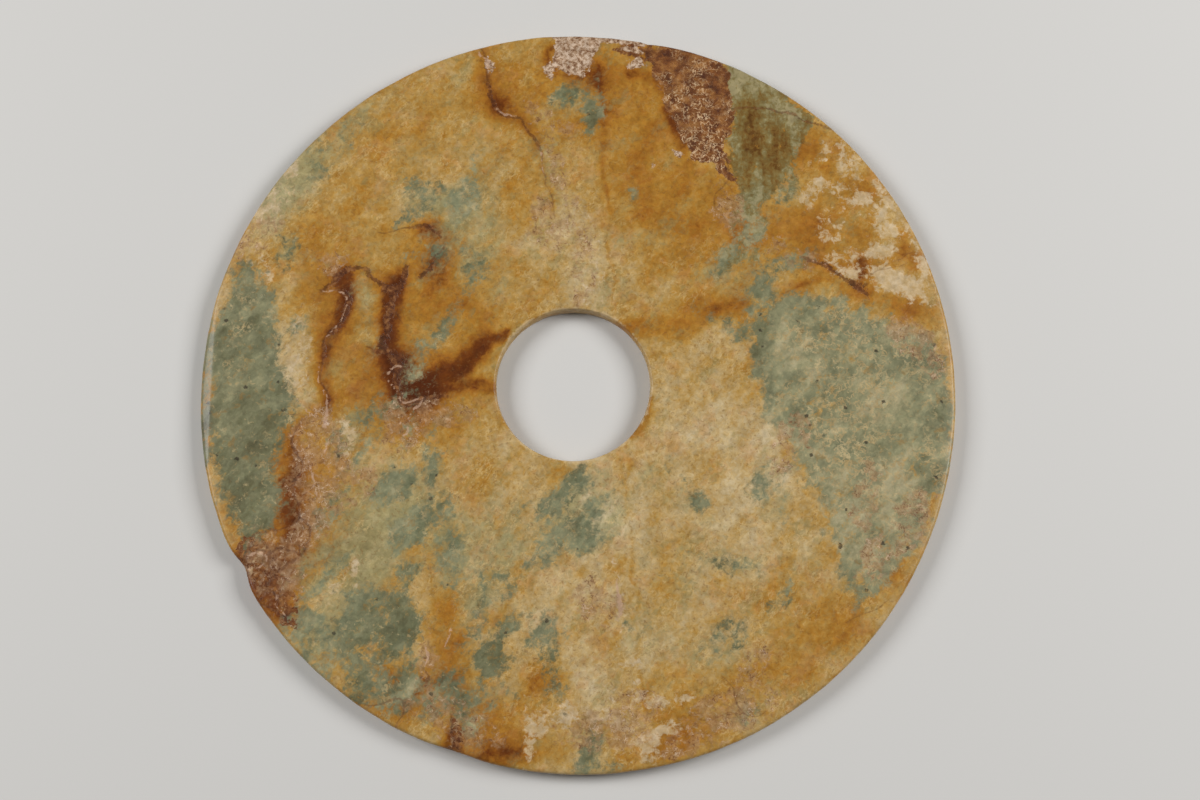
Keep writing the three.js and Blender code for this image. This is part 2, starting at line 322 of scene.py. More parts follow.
# Green windows are the fresh jade between, and mist is green seen faintly through the pale skin. Olive is
# green seen through brown
GREEN = (
    (3.6, (80, 30), (95, 31), (108, 28), (118, 25), (128, 20), (137, 6), (139, -12), (135, -33),
     (129, -50), (120, -61), (108, -74), (101, -82), (95, -75), (96, -62), (90, -50), (88, -38),
     (81, -27), (77, -17), (69, -11), (67, 4), (63, 14), (66, 25)),
    (4.5, (-126, 50), (-117, 42), (-111, 28), (-113, 15), (-108, 5), (-105, -5), (-108, -17), (-111, -30),
     (-108, -40), (-112, -50), (-120, -60), (-126, -53), (-133, -30), (-137, -5), (-137, 15), (-133, 35),
     (-131, 45)),
    (2.3, (-84, -76), (-72, -73), (-62, -76), (-57, -84), (-58, -96), (-56, -108), (-62, -116),
     (-74, -114), (-84, -104), (-87, -92)),
    (1, (-106, -84), (-92, -86), (-86, -96), (-88, -108), (-96, -104), (-104, -94)),
    (5, (-35, -94), (-30, -92), (-25, -96), (-23, -103), (-26, -108), (-31, -108), (-35, -103),
     (-37, -98)),
    (2, -27, -88, 6, 2.4, 40), (1.5, -36, -91.5, 4, 1.2, 40), (2, -26, -110, 2, 1.2, 0),
    (4, -10.5, -99, 9, 2.7, 96), (1.5, -11, -91.5, 3, 1.6, 0), (3, -42, -114, 8, 4, 115),
    (2, -37, -125, 7, 2.6, 110), (3, 4, -132, 6, 3, 75), (1, 11, -137, 3, 2, 0), (0, -30, -73, 6, 4, -20),
    (0.5, -35, -83, 4, 2, 60), (2.5, (-19, -67), (-13, -66), (-5, -58), (-1, -53), (-6, -51), (-13, -57)),
    (1.2, -1, -56, 11, 5, 10), (0.5, 3, -48, 6, 2.4, 50), (1, -4, -38, 8, 3, 30), (1, -66, -36, 8, 5, 30),
    (0.5, -48, -56, 12, 4, 95), (2, -45, -60, 10, 2.6, 92), (2, -62, -68, 3.5, 3.5, 0),
    (0.5, -60, -52, 9, 5, 50), (1, -54, -33, 7, 2, 92), (0, -88, -45, 8, 3, 60),
    (-0.5, -92, -68, 10, 4, 40), (0.5, -78, -24, 6, 2.4, 60), (1, -88, -23, 4, 1.6, 100),
    (2, -76, -9, 7, 2.4, 20), (2, -61, -12, 6, 1.6, 70), (0, -44, 74, 9, 4, 70),
    (-0.5, -56, 76, 8, 3, -10), (0, -60, 69, 6, 3, 20), (0, -58, 51, 5, 2.4, 20),
    (-0.5, -40, 47, 7, 3, 110), (1.5, -54, 18, 7, 3, 45), (0, -60, 8, 6, 2.4, 60),
    (1.5, -3, 117, 4, 2.4, -20), (0.5, -7, 114, 3, 2, 0), (0.5, 5, 107, 6, 2.4, 80),
    (1.5, 20.5, 76.5, 2.4, 2, 0), (2, 66, 74, 5, 5, 90), (1, 76, 74, 5, 2.4, 40), (1, 66, 60, 8, 4, 90),
    (0.5, 58, 50, 6, 3, 30), (2, 69, 40, 9, 5, 100), (0, 79, 48, 6, 3, 20), (1, 84, 30, 14, 4, 0),
    (-0.8, 69, -36, 6, 3, 60), (-0.8, 77, -36, 5, 2.4, 60), (0, 56, -65, 6, 2, -10),
    (0, 22, -88, 4, 2, 0), (1.2, -138, 0, 34, 2.5, 90), (1, 57, 22, 5, 1.4, -30),
    (-0.8, 42, -39, 6, 1.4, -55), (-1.2, 36, -32, 5, 1.2, -50), (0.5, 2, -36, 4, 3, 60),
    (0.5, 2, -50, 4, 3, 40), (0.5, 74, -44, 4, 1.4, 100), (-1.4, 72, -76, 5, 3, 90),
    (-1.4, 54, -95, 7, 4, 60), (0, 62, -116, 4, 3, 60), (0.5, -100, 94, 4, 2, 60),
    (0.5, -99, 84, 3, 2, 60), (0, -88, 98, 5, 3, 60), (-1, -111, 50, 4, 2, 80), (1, -76, -9, 5, 2, 60),
    (-1, -106, 24, 3, 4, 90), (0.5, -74, -112, 8, 4, -20), (-0.5, -32, -112, 7, 4, 60),
    (0, -94, -88, 6, 3, -30), (0.8, -8, -46, 9, 4, 50), (0.5, -48, -112, 8, 4, 60),
)
MIST = (
    (0.7, -110, 74, 18, 9, 60), (0.5, -98, 88, 14, 6, 50), (0.3, -62, 92, 16, 8, 0),
    (0.7, -45, 70, 16, 8, 60), (0.6, -60, 72, 12, 6, 0), (0.6, -36, 58, 12, 8, 60),
    (0.3, -46, 48, 12, 6, 20), (0.3, -22, 92, 12, 8, 0), (0.4, -78, 20, 16, 4, 90),
    (0.5, -80, 36, 6, 3, 90), (0.6, -57, 16, 10, 6, 60), (0.4, -28, 42, 8, 5, 60),
    (0.8, 0, -42, 18, 9, 30), (0.6, 6, -55, 14, 7, 30), (0.5, -32, -72, 10, 8, 60),
    (0.5, -25, -60, 10, 6, 60), (0.4, 32, -38, 14, 5, -42), (0.4, 44, -46, 10, 4, -40),
    (0.5, 54, -64, 12, 6, -10), (0.4, 36, -72, 10, 7, 0), (0.5, 50, -98, 12, 6, 20),
    (0.5, 28, -92, 12, 7, 0), (0.4, 72, -48, 12, 5, 70), (0.5, 70, -36, 10, 6, 60),
    (0.3, 82, -64, 10, 6, 60), (0.5, 58, -118, 12, 5, 30), (0.3, 96, -96, 10, 4, 40),
    (0.4, 75, -78, 8, 4, 40), (0.6, -82, -42, 18, 9, 60), (0.6, -92, -66, 14, 7, 40),
    (0.5, -70, -60, 22, 12, 50), (0.4, -84, -84, 12, 10, 40), (0.4, -30, -50, 16, 9, 50),
    (0.5, -74, -62, 12, 6, 60), (0.6, -62, -46, 16, 10, 60), (0.6, -96, -94, 14, 8, 40),
    (0.6, -46, -60, 14, 7, 90), (0.5, 52, 48, 12, 5, 30), (0.5, 60, 38, 8, 8, 0),
    (0.6, -4, 114, 10, 7, -10), (0.4, 12, 92, 5, 12, 90), (0.5, -86, 104, 8, 3, 50),
    (0.5, -106, 50, 7, 4, 0), (0.7, -84, -18, 9, 4, 100), (0.5, 128, -20, 14, 6, 90),
    (0.4, -38, -84, 10, 5, 60), (0.5, 4, -128, 10, 6, 60), (0.8, -112, 80, 14, 6, 60),
    (0.5, -72, -110, 12, 6, 0), (0.5, -36, -114, 12, 8, 60), (0.4, -50, -110, 8, 6, 60),
    (0.4, 20, 58, 4, 16, 90), (0.3, -76, 112, 12, 5, 30), (0.4, -10, 80, 12, 5, 100),
    (0.4, 10, 40, 8, 8, 0),
)
OLIVE = (
    (-0.5, 64, 66, 12, 6, 90), (0.5, 80, 80, 6, 4, 60), (0, 62, 52, 8, 4, 30),
    (3, (57, 131), (67, 127), (80, 115), (92, 105), (87, 98), (82, 88), (76, 78), (70, 71), (64, 60),
     (61, 70), (59.5, 82), (59, 95), (59, 108), (56, 120)),
)
OLIVE_TONE = (
    (-0.20, 64, 99, 14, 5, 90), (-0.16, 71, 86, 14, 5, 80), (0.26, 64, 122, 9, 8, 0),
    (0.16, 80, 108, 10, 4, -30), (0.30, 68, 62, 10, 6, 90), (-0.24, 60, 84, 8, 2, 90),
    (-0.15, 78, 95, 6, 4, 60), (0.05, 70, 112, 10, 3, 0),
)
GREEN_PALENESS = (
    (0.26, 95, 0, 40, 34, 90), (0.2, 122, -20, 40, 14, 90), (0.3, 104, -60, 26, 14, 70),
    (-0.25, -124, 0, 50, 14, 90), (-0.35, -30, -100, 12, 10, 90), (-0.35, -11, -98, 10, 5, 90),
    (-0.08, -70, -94, 22, 16, 90), (-0.3, 4, -132, 8, 5, 90), (0.05, -5, -45, 20, 10, 30),
    (-0.1, -10, -60, 14, 6, 40), (0.25, -44, 68, 12, 8, 70), (-0.2, -45, 45, 14, 10, 0),
    (0.3, -75, -45, 22, 14, 60), (-0.15, -45, -58, 12, 6, 90), (-0.4, 40, -37, 9, 5, -55),
    (-0.3, 2, -43, 12, 6, 90), (-0.3, -3, 117, 5, 4, 0), (-0.3, -54, 16, 10, 6, 45),
    (-0.3, -76, -10, 8, 4, 20), (-0.2, 69, 40, 6, 6, 0), (-0.2, -42, -116, 12, 6, 110),
)
THREADED = (
    (1.1, 98, -2, 34, 20, 80), (0.7, 112, -40, 20, 14, 60), (0.1, -66, -44, 24, 18, 60),
    (-0.2, -75, -94, 20, 14, 90),
)

# Blush is stone that has weathered pinkish and dull; crust has rotted to a rough, crystalline skin
BLUSH = (
    (1, -95, -28, 20, 11, 95), (0.5, -86, -36, 12, 9, 0), (1, -52, -10, 14, 5, -4),
    (0.5, -64, -18, 7, 7, 0), (1.5, -54, -100, 9, 3, 88), (1, 57, 71, 7, 5.5, 100),
    (1, 126, 17, 13, 6, -50), (0.5, 107, -64, 8, 5, 60), (0.5, -12, 106, 9, 4, -30),
    (0.5, -124, 55, 8, 5, 30), (0, 2, 48, 16, 4, 85), (0.5, 16, -122, 14, 8, 40),
    (1.5, -110, -66, 14, 10, 130), (0.5, 122, -50, 12, 6, 60), (-0.5, 60, -118, 12, 6, 25),
    (0, 80, 52, 8, 3, -20), (0, -5, 66, 10, 4, 80), (0.5, -93, 48, 5, 4, 0), (0, 105, -42, 12, 4, 80),
    (1, 12, -124, 16, 7, 10), (1, 52, -118, 14, 7, 25), (0.5, 40, -130, 10, 4, 15),
    (1.5, -98, -52, 10, 6, 60), (0.5, -40, -124, 12, 6, -20), (0.3, -50, -118, 10, 5, 0),
    (0.5, -8, 84, 12, 3, 100), (0.5, 62, -106, 10, 4, 60), (0.5, 6, -78, 8, 6, 80),
    (0.5, -14, 64, 10, 5, 90), (0.5, -118, 62, 6, 4, 30), (1, -66, -12, 8, 6, 90), (0, 12, -82, 6, 4, 60),
    (0, 78, -22, 12, 6, 60),
)
PALE_CRUST = (
    (4, (-11, 141), (-9, 134), (-10.5, 129), (-14, 124.5), (-11, 122.5), (-8, 126), (-4, 124), (1, 122),
     (3, 125), (5, 132), (8, 136), (14, 137), (25, 136.5), (25, 141)),
    (1.5, 20, 134.5, 3, 1.4, -10), (1.5, 21.5, 128, 3, 2, 0), (1.5, -35.3, 127.5, 2.6, 1.7, 100),
    (1, 38, 91, 1.3, 1.1, 0), (0.8, 28.7, 87, 1, 0.8, 0), (1, -93, -14, 1.4, 1.2, 0),
)
BROWN_CRUST = (
    (5, (34, 141), (46, 136), (54, 131), (58, 124), (58.5, 115), (59, 105), (57, 98), (57, 90),
     (58.5, 84), (60, 79), (56, 80), (53, 87), (47, 88), (42, 91), (40, 97), (38, 102), (34, 108),
     (33, 118), (28, 124), (26, 131)),
    (-0.4, -116, -67, 8, 5, -30), (-0.3, -108, -77, 11, 5, 120), (-0.4, -120, -60, 5, 3, 60),
    (1, 28, 132, 13, 3, -14), (0.5, -43, -127, 7, 2, 95), (0.6, 20, 138, 14, 2, -8),
)
FROSTED = (
    (0.5, 45, 127, 4, 3, 0), (0.4, 36, 114, 4, 3, 0), (0.6, 48, 108, 6, 5, 60), (1.2, 46, 92, 6, 4, 0),
    (1.1, 53, 94, 4, 6, 0), (0.5, 38, 113, 5, 4, 90), (0.4, 45, 120, 4, 8, 0), (0.4, 55, 84, 4, 2, 60),
    (-0.3, 53, 120, 6, 4, 0), (-0.4, 30, 129, 10, 4, -18), (0.5, -117, -65, 4, 2, 60),
    (-0.5, -108, -76, 10, 6, 120), (-0.3, -120, -70, 6, 6, 0),
)

# Veins and cracks, as lines of (x, y, half width).
DARK_VEINS = (
    ((-96, 37, 0.6), (-91, 40, 0.9), (-88, 44, 1.0), (-86, 46, 1.0), (-82, 46, 0.7), (-79, 45, 0.7),
     (-76, 41, 0.8), (-72, 38, 1.4), (-68, 38, 2.0), (-66, 41, 1.4), (-65, 46, 0.7)),
    ((-96, 37, 0.3), (-90, 37, 0.5), (-87, 36, 1.2), (-86, 32, 1.3), (-87, 28, 1.3), (-89, 24, 1.1),
     (-92, 21, 0.6), (-95, 18, 0.4), (-94, 13, 0.9), (-96, 8, 0.4), (-95, 2, 0.4), (-92, -3, 0.5),
     (-92, -8, 0.3)),
    ((-69, 37, 1.5), (-71, 31, 1.3), (-72, 25, 1.5), (-71, 20, 1.4), (-74, 16, 1.2), (-70, 12, 1.4),
     (-67, 8, 1.9), (-67, 4, 1.6), (-66, -2, 0.9), (-64, -6, 1.2), (-58, -6, 1.4), (-53, -4, 1.1),
     (-48, -4, 0.5)),
    ((-73, 31, 0.3), (-69, 29, 0.7), (-66, 25, 0.3)),
    ((-78, 15, 0.3), (-74, 13, 0.7), (-70, 15, 0.5), (-66, 12, 0.6), (-63, 8, 0.3)),
    ((-75, 60, 0.3), (-68, 60, 0.4), (-61, 62, 0.6), (-57, 63, 0.9), (-53, 59, 0.5)),
    ((-58, 43, 0.8), (-56, 46, 0.9), (-54, 50, 0.5), (-51, 54, 0.4)),
    ((-107, -10, 0.2), (-101, -11, 0.3), (-105, -17, 0.4), (-106, -22, 0.8), (-102, -27, 0.4),
     (-101, -31, 0.4), (-104, -35, 0.8), (-103, -40, 0.4), (-101, -44, 0.4), (-100, -49, 0.7),
     (-104, -53, 0.3), (-111, -54, 0.4), (-118, -56, 0.5), (-120, -63, 0.6)),
    ((-99, -50, 0.4), (-97, -56, 0.4), (-99, -62, 0.5), (-104, -66, 0.4), (-110, -70, 0.5),
     (-114, -77, 0.4)),
    ((-118, -60, 0.5), (-112, -62, 0.6), (-107, -60, 0.5), (-101, -62, 0.5)),
    ((-121, -70, 0.6), (-114, -72, 0.5), (-108, -76, 0.6), (-104, -82, 0.5)),
    ((-116, -80, 0.3), (-111, -81, 0.6), (-107, -84, 0.8), (-103, -83, 0.4)),
    ((-114, -58, 0.3), (-111, -64, 0.6), (-112, -70, 0.4), (-108, -70, 0.5), (-103, -72, 0.3)),
    ((-38, 136, 0.3), (-36.5, 131, 0.4), (-34.5, 124, 0.6), (-35, 117, 0.8), (-34, 112, 0.9),
     (-31, 108, 0.7), (-27, 106, 0.6), (-22, 105, 0.5), (-20, 100, 0.6), (-16, 96, 0.6), (-14, 91, 0.35)),
    ((-14, 91, 0.35), (-13.5, 85, 0.3), (-12, 78, 0.25), (-9, 71, 0.3), (-8.5, 66, 0.2)),
    ((57, 110, 0.4), (63, 110, 0.5), (70, 110, 0.5), (77, 108, 0.55), (83, 107, 0.55), (87, 104, 0.6),
     (91, 103, 0.6), (98, 101.5, 0.4)),
    ((84, 50.5, 0.4), (89, 48, 0.8), (94, 45, 0.9), (99, 42, 0.6), (103, 39.5, 1.1), (107, 37, 1.0),
     (109, 34.5, 0.4)),
    ((98, 41, 0.3), (102, 40.5, 0.5), (107, 40, 0.4)),
    ((-73, -116.5, 0.3), (-69, -116, 0.3), (-65, -114, 0.4), (-60.5, -114, 0.5), (-61.5, -118, 0.4),
     (-63.5, -123, 0.3)),
    ((-45, -120, 0.4), (-44, -126, 0.7), (-42, -132, 0.7)),
    ((110, 44.5, 0.2), (117, 45.6, 0.25), (124, 47, 0.2)),
    ((112, 47, 0.2), (119, 48.5, 0.25), (127, 51, 0.2)),
    ((56, 66, 0.2), (51.5, 70, 0.3), (52, 75, 0.3), (56, 78, 0.3), (57, 84, 0.6), (56, 90, 0.6)),
    ((-56, -107, 0.5), (-54, -109, 0.6), (-52.5, -107, 0.4), (-54, -105.5, 0.4)),
    ((52, -107, 0.15), (55, -112, 0.3), (56, -115, 0.4), (59, -119, 0.2), (63, -120, 0.3),
     (66, -118, 0.15)),
    ((44, -120, 0.15), (49, -121, 0.25), (53, -118, 0.2), (56, -120, 0.15)),
    ((96, -86, 0.15), (101, -83, 0.25), (107, -83, 0.3), (111, -79, 0.2)),
)
PALE_VEINS = (
    ((-95, 36.6, 0.3), (-91, 36.8, 0.45), (-87, 35.5, 0.4), (-86.5, 31, 0.3), (-88, 26, 0.3),
     (-93, 20, 0.3)),
    ((-70, 6, 0.3), (-68, 8.5, 0.4), (-66, 8, 0.3)),
    ((-69.5, 2, 0.35), (-66, -3, 0.4), (-65, -5.5, 0.4), (-61, -6, 0.4), (-56.5, -4, 0.4),
     (-58, -7.5, 0.4), (-61, -9, 0.4), (-62.5, -13, 0.45), (-62.5, -18, 0.4), (-65, -18.5, 0.35),
     (-66, -15, 0.3), (-64.5, -11, 0.3)),
    ((-96.5, 8, 0.35), (-96, 2, 0.35), (-93, -3, 0.45), (-92.5, -9, 0.6), (-93, -14, 0.9)),
    ((-39, 134, 0.45), (-38, 131, 0.6), (-35.5, 130, 0.5), (-35, 127.5, 1.0), (-34, 125, 0.4)),
    ((-31, 109, 0.35), (-28, 107, 0.5), (-25, 106.5, 0.35)),
    ((88, 49, 0.25), (94, 46, 0.35), (99, 42.5, 0.3)),
    ((-119.5, -62.5, 0.4), (-116, -61.5, 0.7), (-113, -62.5, 0.6), (-112.5, -65, 0.4), (-115, -66.5, 0.6),
     (-118.5, -67.5, 0.5)),
    ((-113, -75, 0.3), (-109, -74, 0.45), (-107, -77, 0.4), (-109, -80, 0.4), (-106, -83, 0.3)),
    ((-14.5, 93, 0.3), (-13.5, 87, 0.4), (-13, 82, 0.25)),
    ((-99, -28, 0.3), (-97, -34, 0.5), (-95, -40, 0.3)),
    ((-104, -4, 0.3), (-100, -9, 0.45), (-97, -14, 0.3)),
    ((-92, -20, 0.3), (-94, -26, 0.45), (-91, -32, 0.3)),
    ((-54, -96, 0.5), (-53, -99, 0.8), (-54, -101, 0.4)),
    ((-44, -86, 0.25), (-46, -92, 0.5), (-47, -95, 0.25)),
    ((14, -71, 0.3), (14.5, -76, 0.7), (16, -83, 0.9), (15, -85, 0.3)),
)
BROWN_STREAKS = (
    (0.44, (-27, 22, 1.2), (-33, 18, 2.8), (-40, 12, 4.8), (-46, 7, 5.2), (-54, 2, 4.5), (-64, -2, 2.6)),
    (0.36, (-29, -1, 2.0), (-36, 1, 3.2), (-46, 1, 3.6), (-54, -3, 3.0), (-60, -6, 2.0)),
    (0.30, (27, -4, 1.2), (27, -10, 1.6), (24, -16, 1.4), (20, -20, 0.8)),
    (0.26, (16, 24, 3.0), (28, 22, 5.0), (38, 24, 6.0), (48, 29, 5.0), (62, 33, 3.0)),
    (0.14, (8.2, 126, 1.0), (9.2, 108, 1.3), (10.2, 84, 1.2), (11.5, 66, 0.8)),
    (0.22, (19, -62, 0.5), (19.6, -68, 1.0), (20.2, -72, 0.4)),
    (0.14, (17.4, -27, 0.8), (18.4, -44, 0.8), (19.4, -62, 0.8)),
    (0.14, (20.5, -74, 0.8), (22, -100, 0.9), (23, -116, 0.7)),
    (0.16, (11, 60, 0.8), (12.6, 46, 0.9), (13.8, 34, 0.5)),
    (0.16, (77, 36, 0.8), (84, 40, 1.2), (92, 40.5, 1.0), (98, 38, 0.6)),
    (0.10, (-45, 60, 1.0), (-40, 50, 2.0), (-38, 40, 2.4), (-43, 32, 2.4), (-50, 27, 2.0)),
    (0.38, (-69, 40, 4.0), (-71, 30, 4.4), (-71, 18, 4.8), (-68, 8, 5.0), (-65, 0, 3.5)),
    (0.28, (-88, 44, 4.0), (-87, 34, 4.5), (-89, 24, 4.5), (-94, 14, 4.5), (-95, 4, 3.0), (-92, -8, 2.0)),
    (0.10, (-58, 62, 4.0), (-50, 56, 4.0), (-52, 44, 5.0), (-56, 34, 5.0), (-55, 24, 4.0)),
    (0.20, (-106, -18, 4.0), (-104, -34, 5.5), (-103, -48, 5.0), (-101, -58, 5.0), (-108, -70, 6.0)),
    (0.14, (-38, 136, 2.0), (-36, 120, 4.0), (-30, 108, 4.0), (-20, 104, 3.0), (-14, 90, 2.5),
     (-9, 70, 1.5)),
    (0.22, (40, 97, 2.0), (36, 104, 2.5), (33, 112, 2.5), (30, 122, 2.5), (20, 125, 2.0)),
    (0.26, (-10, 126, 1.5), (-12, 131, 1.5), (-10, 137, 1.0)),
)

vein_away, vein_across, vein_half_width = nearest_on_lines(DARK_VEINS)
pale_away, pale_across, pale_half_width = nearest_on_lines(PALE_VEINS, wander=0.3)
vein_halo = np.exp(-np.clip(vein_away - vein_half_width, 0, None) / 3.2)
vein_halo *= np.clip(vein_half_width / 1.6, 0.2, 1)
streaks = np.zeros_like(x)
for amount, *streak in BROWN_STREAKS:
    streak_away, _, streak_half_width = nearest_on_lines((streak,), wander=0.9)
    streaks = np.maximum(streaks, amount / (1 + (streak_away / streak_half_width) ** 3.2))

# Past amber the stone darkens ever more slowly as the iron builds up
AMBER = 0.74
DARKENING = 0.35
iron = PLAIN_IRON + tinted(IRON) + 0.24 * vein_halo + streaks
past_amber = np.clip(iron - AMBER, 0, None)
iron = np.minimum(iron, AMBER) + DARKENING * (1 - np.exp(-past_amber / 0.33))

# A painted highlight: a pale ring just outside the hole's mouth on both faces, broken up by noise, standing
# in for light catching the lip
hole_reach = np.hypot(x - HOLE_MIDDLE[0] - 0.2, y - HOLE_MIDDLE[1] - 0.24) - HOLE_MOUTH
lip = np.exp(-(((hole_reach - 0.2) / 0.45) ** 2)) * (upper_side + lower_side)
lip *= 0.65 + 0.6 * cloud(x, y, 6, 41)

fields = {
    "iron": iron,
    "white": depth_into(WHITE),
    "green": depth_into(GREEN),
    "mist": tinted(MIST),
    "olive": depth_into(OLIVE),
    "olive_tone": tinted(OLIVE_TONE),
    "paleness": tinted(GREEN_PALENESS),
    "threaded": tinted(THREADED),
    "blush": depth_into(BLUSH),
    "pale_crust": depth_into(PALE_CRUST),
    "brown_crust": depth_into(BROWN_CRUST),
    "frosted": tinted(FROSTED),
    "lip": lip,
    "vein_across": np.clip(vein_across, -12, 12),
    "vein_width": vein_half_width,
    "vein_reach": vein_half_width - np.clip(vein_away, 0, 12),
    "pale_vein": pale_half_width - np.clip(np.abs(pale_across), 0, 12),
    "pale_reach": pale_half_width - np.clip(pale_away, 0, 12),
}


# The upper face is a saw-cut face ground almost flat: it undulates, the saw's mark crosses it, the slab's
# own sawn side slopes off at the left rim, and veins and crusts have weathered out below the polish
SAW_MARK_X = 16.2
SAW_MARK_LEAN = math.radians(3.9)
SAW_MARK_DEPTH = 0.30
SAW_MARK_STEEP_WIDTH = 1.2
SAW_MARK_EASY_WIDTH = 3.2
SLAB_SIDE_INSET = 4.8
SLAB_SIDE_DROP = 1.3
RIM_CHIPS = ((208.5, 6.5, 1.3), (243.8, 2.6, 0.8), (251, 4.0, 0.7), (79, 4.0, 0.8), (217.5, 3.4, 0.8))


def saw_mark_depth():
    """An uneven V along a leaning line: its floor at the line, and steeper on the left than on the right."""
    off = x * math.cos(SAW_MARK_LEAN) + y * math.sin(SAW_MARK_LEAN) - SAW_MARK_X * math.cos(SAW_MARK_LEAN)
    left = np.clip(1 + off / SAW_MARK_STEEP_WIDTH, 0, 1)
    right = np.clip(1 - off / SAW_MARK_EASY_WIDTH, 0, 1)
    return SAW_MARK_DEPTH * np.where(off < 0, left, right)


def chip_depth(at, length, bite):
    """An oval hollow on the rim's upper edge, deepest in its middle."""
    angle = math.radians(at)
    rim_at = float(outline_radius(np.array([angle]))[0])
    along = y * math.cos(angle) - x * math.sin(angle)
    inward = rim_at - x * math.cos(angle) - y * math.sin(angle)
    away = np.hypot(along / (length / 2), inward / (bite * 1.8))
    return bite * np.clip(1 - away**2, 0, 1)


grain = 0.6 * cloud(x, y, 1.9, 31) + 0.4 * cloud(x, y, 1.1, 32)
undulation = 0.05 * (1 + cloud(x, y, 38, 33)) + 0.02 * (1 + cloud(x, y, 11, 34))
crust = np.clip(np.maximum(fields["pale_crust"], fields["brown_crust"]) / 2 + 0.5, 0, 1)
sunk = undulation + crust * (0.22 + 0.16 * grain) + 0.05 * np.clip(fields["blush"] + 0.5, 0, 1) * (1 + grain)
sunk += 0.16 * np.exp(-((vein_away / vein_half_width) ** 2)) * np.clip(vein_half_width, 0.4, 1.2)
top_cut = sunk + saw_mark_depth()
top_cut = np.maximum(top_cut, (-(x + MEAN_RADIUS - SLAB_SIDE_INSET)) * SLAB_SIDE_DROP / SLAB_SIDE_INSET)
for chip in RIM_CHIPS:
    top_cut = top_cut + chip_depth(*chip)
z = z - upper_side * top_cut + lower_side * sunk

# The rim is ground by hand, so it has faint flats and pits all the way round
rim_side = np.clip(np.hypot(x, y) - (MEAN_RADIUS - 4), 0, 3) / 3
rim_wear = rim_side * (0.10 * (1 + cloud(x, y, 7, 35)) + 0.05 * (1 + cloud(x + 3 * z, y - 3 * z, 1.6, 36)))
hole_side = np.clip(HOLE_MOUTH + 3 - np.hypot(x + 1.9, y - 1.2), 0, 3) / 3
hole_wear = hole_side * 0.06 * (1 + cloud(x + 2 * z, y - 2 * z, 2.2, 37))
shrink = 1 - rim_wear / MEAN_RADIUS + hole_wear / HOLE_MOUTH
x = x * shrink
y = y * shrink

rows, columns = x.shape
index = np.arange(rows * columns).reshape(rows, columns)
next_row = np.roll(index, -1, axis=0)
faces = np.stack([index, next_row, np.roll(next_row, -1, axis=1), np.roll(index, -1, axis=1)], axis=-1)
faces = faces.reshape(-1, 4)
disc_mesh = bpy.data.meshes.new("carved_disc")
disc_mesh.from_pydata(np.stack([x, y, z], axis=-1).reshape(-1, 3) * MM, [], faces)
disc_mesh.polygons.foreach_set("use_smooth", np.ones(len(faces), bool))
for name, field in fields.items():
    attribute = disc_mesh.attributes.new(name, "FLOAT", "POINT")
    attribute.data.foreach_set("value", field.astype(np.float32).ravel())
disc_mesh.update()
disc = bpy.data.objects.new("carved_disc", disc_mesh)
bpy.context.collection.objects.link(disc)
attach(disc, "root")
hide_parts("bi_disc")


class Tone:
    """A socket of a material's nodes: arithmetic on it adds Math nodes, and node() any other kind."""

    def __init__(self, tree, socket=None):
        self.tree = tree
        self.socket = socket

    def node(self, kind, settings=None, sockets=None, out=0):
        """Adds a node, sets its settings, fills or links its sockets, and wraps one of its outputs."""
        made = self.tree.nodes.new(kind)
        for name, value in (settings or {}).items():
            if name == "stops":
                while len(made.color_ramp.elements) < len(value):
                    made.color_ramp.elements.new(1.0)
                for element, (place, colour) in zip(made.color_ramp.elements, value):
                    element.position = place
                    element.color = (*colour, 1.0)
            else:
                setattr(made, name, value)
        for name, value in (sockets or {}).items():
            if isinstance(value, Tone):
                self.tree.links.new(value.socket, made.inputs[name])
            else:
                made.inputs[name].default_value = value
        return Tone(self.tree, made.outputs[out])

    def math(self, operation, *others):
        return self.node("ShaderNodeMath", {"operation": operation}, dict(enumerate((self, *others))))

    def __add__(self, other):
        return self.math("ADD", other)

    def __mul__(self, other):
        return self.math("MULTIPLY", other)

    def __sub__(self, other):
        return self.math("SUBTRACT", other)

    def __rsub__(self, other):
        return self * -1.0 + other

    __radd__ = __add__
    __rmul__ = __mul__

    def rise(self, low, high):
        """0 below low, 1 above high, and a smooth step between; from 1 down to 0 where low is the larger."""
        ends = {"From Min": min(low, high), "From Max": max(low, high)}
        ends |= {"To Min": float(low > high), "To Max": float(low < high)}
        return self.node("ShaderNodeMapRange", {"interpolation_type": "SMOOTHSTEP"}, {"Value": self, **ends})

    def noise(self, size, detail, roughness, shift):
        """Noise about 0.5 with features of a size in millimetres, read at this vector."""
        shifts = (shift, shift * 0.7, shift * 1.3)
        moved = self.node("ShaderNodeVectorMath", {"operation": "ADD"}, {0: self, 1: shifts})
        knobs = {"Scale": 1 / size, "Detail": detail, "Roughness": roughness}
        return self.node("ShaderNodeTexNoise", {}, {"Vector": moved, **knobs})

    def under(self, above, amount):
        """This colour with another laid over it by an amount from 0 to 1: a Tone, or display values."""
        if not isinstance(above, Tone):
            above = (*linear(*above), 1.0)
        settings = {"data_type": "RGBA", "clamp_factor": True}
        return self.node("ShaderNodeMix", settings, {0: amount, 6: self, 7: above}, out=2)


def linear(red, green, blue):
    """A colour given as 0 to 255 display values, as the light it stands for."""
    levels = np.array((red, green, blue)) / 255
    light = np.where(levels <= 0.04045, levels / 12.92, ((levels + 0.055) / 1.055) ** 2.4)
    return tuple(map(float, light))


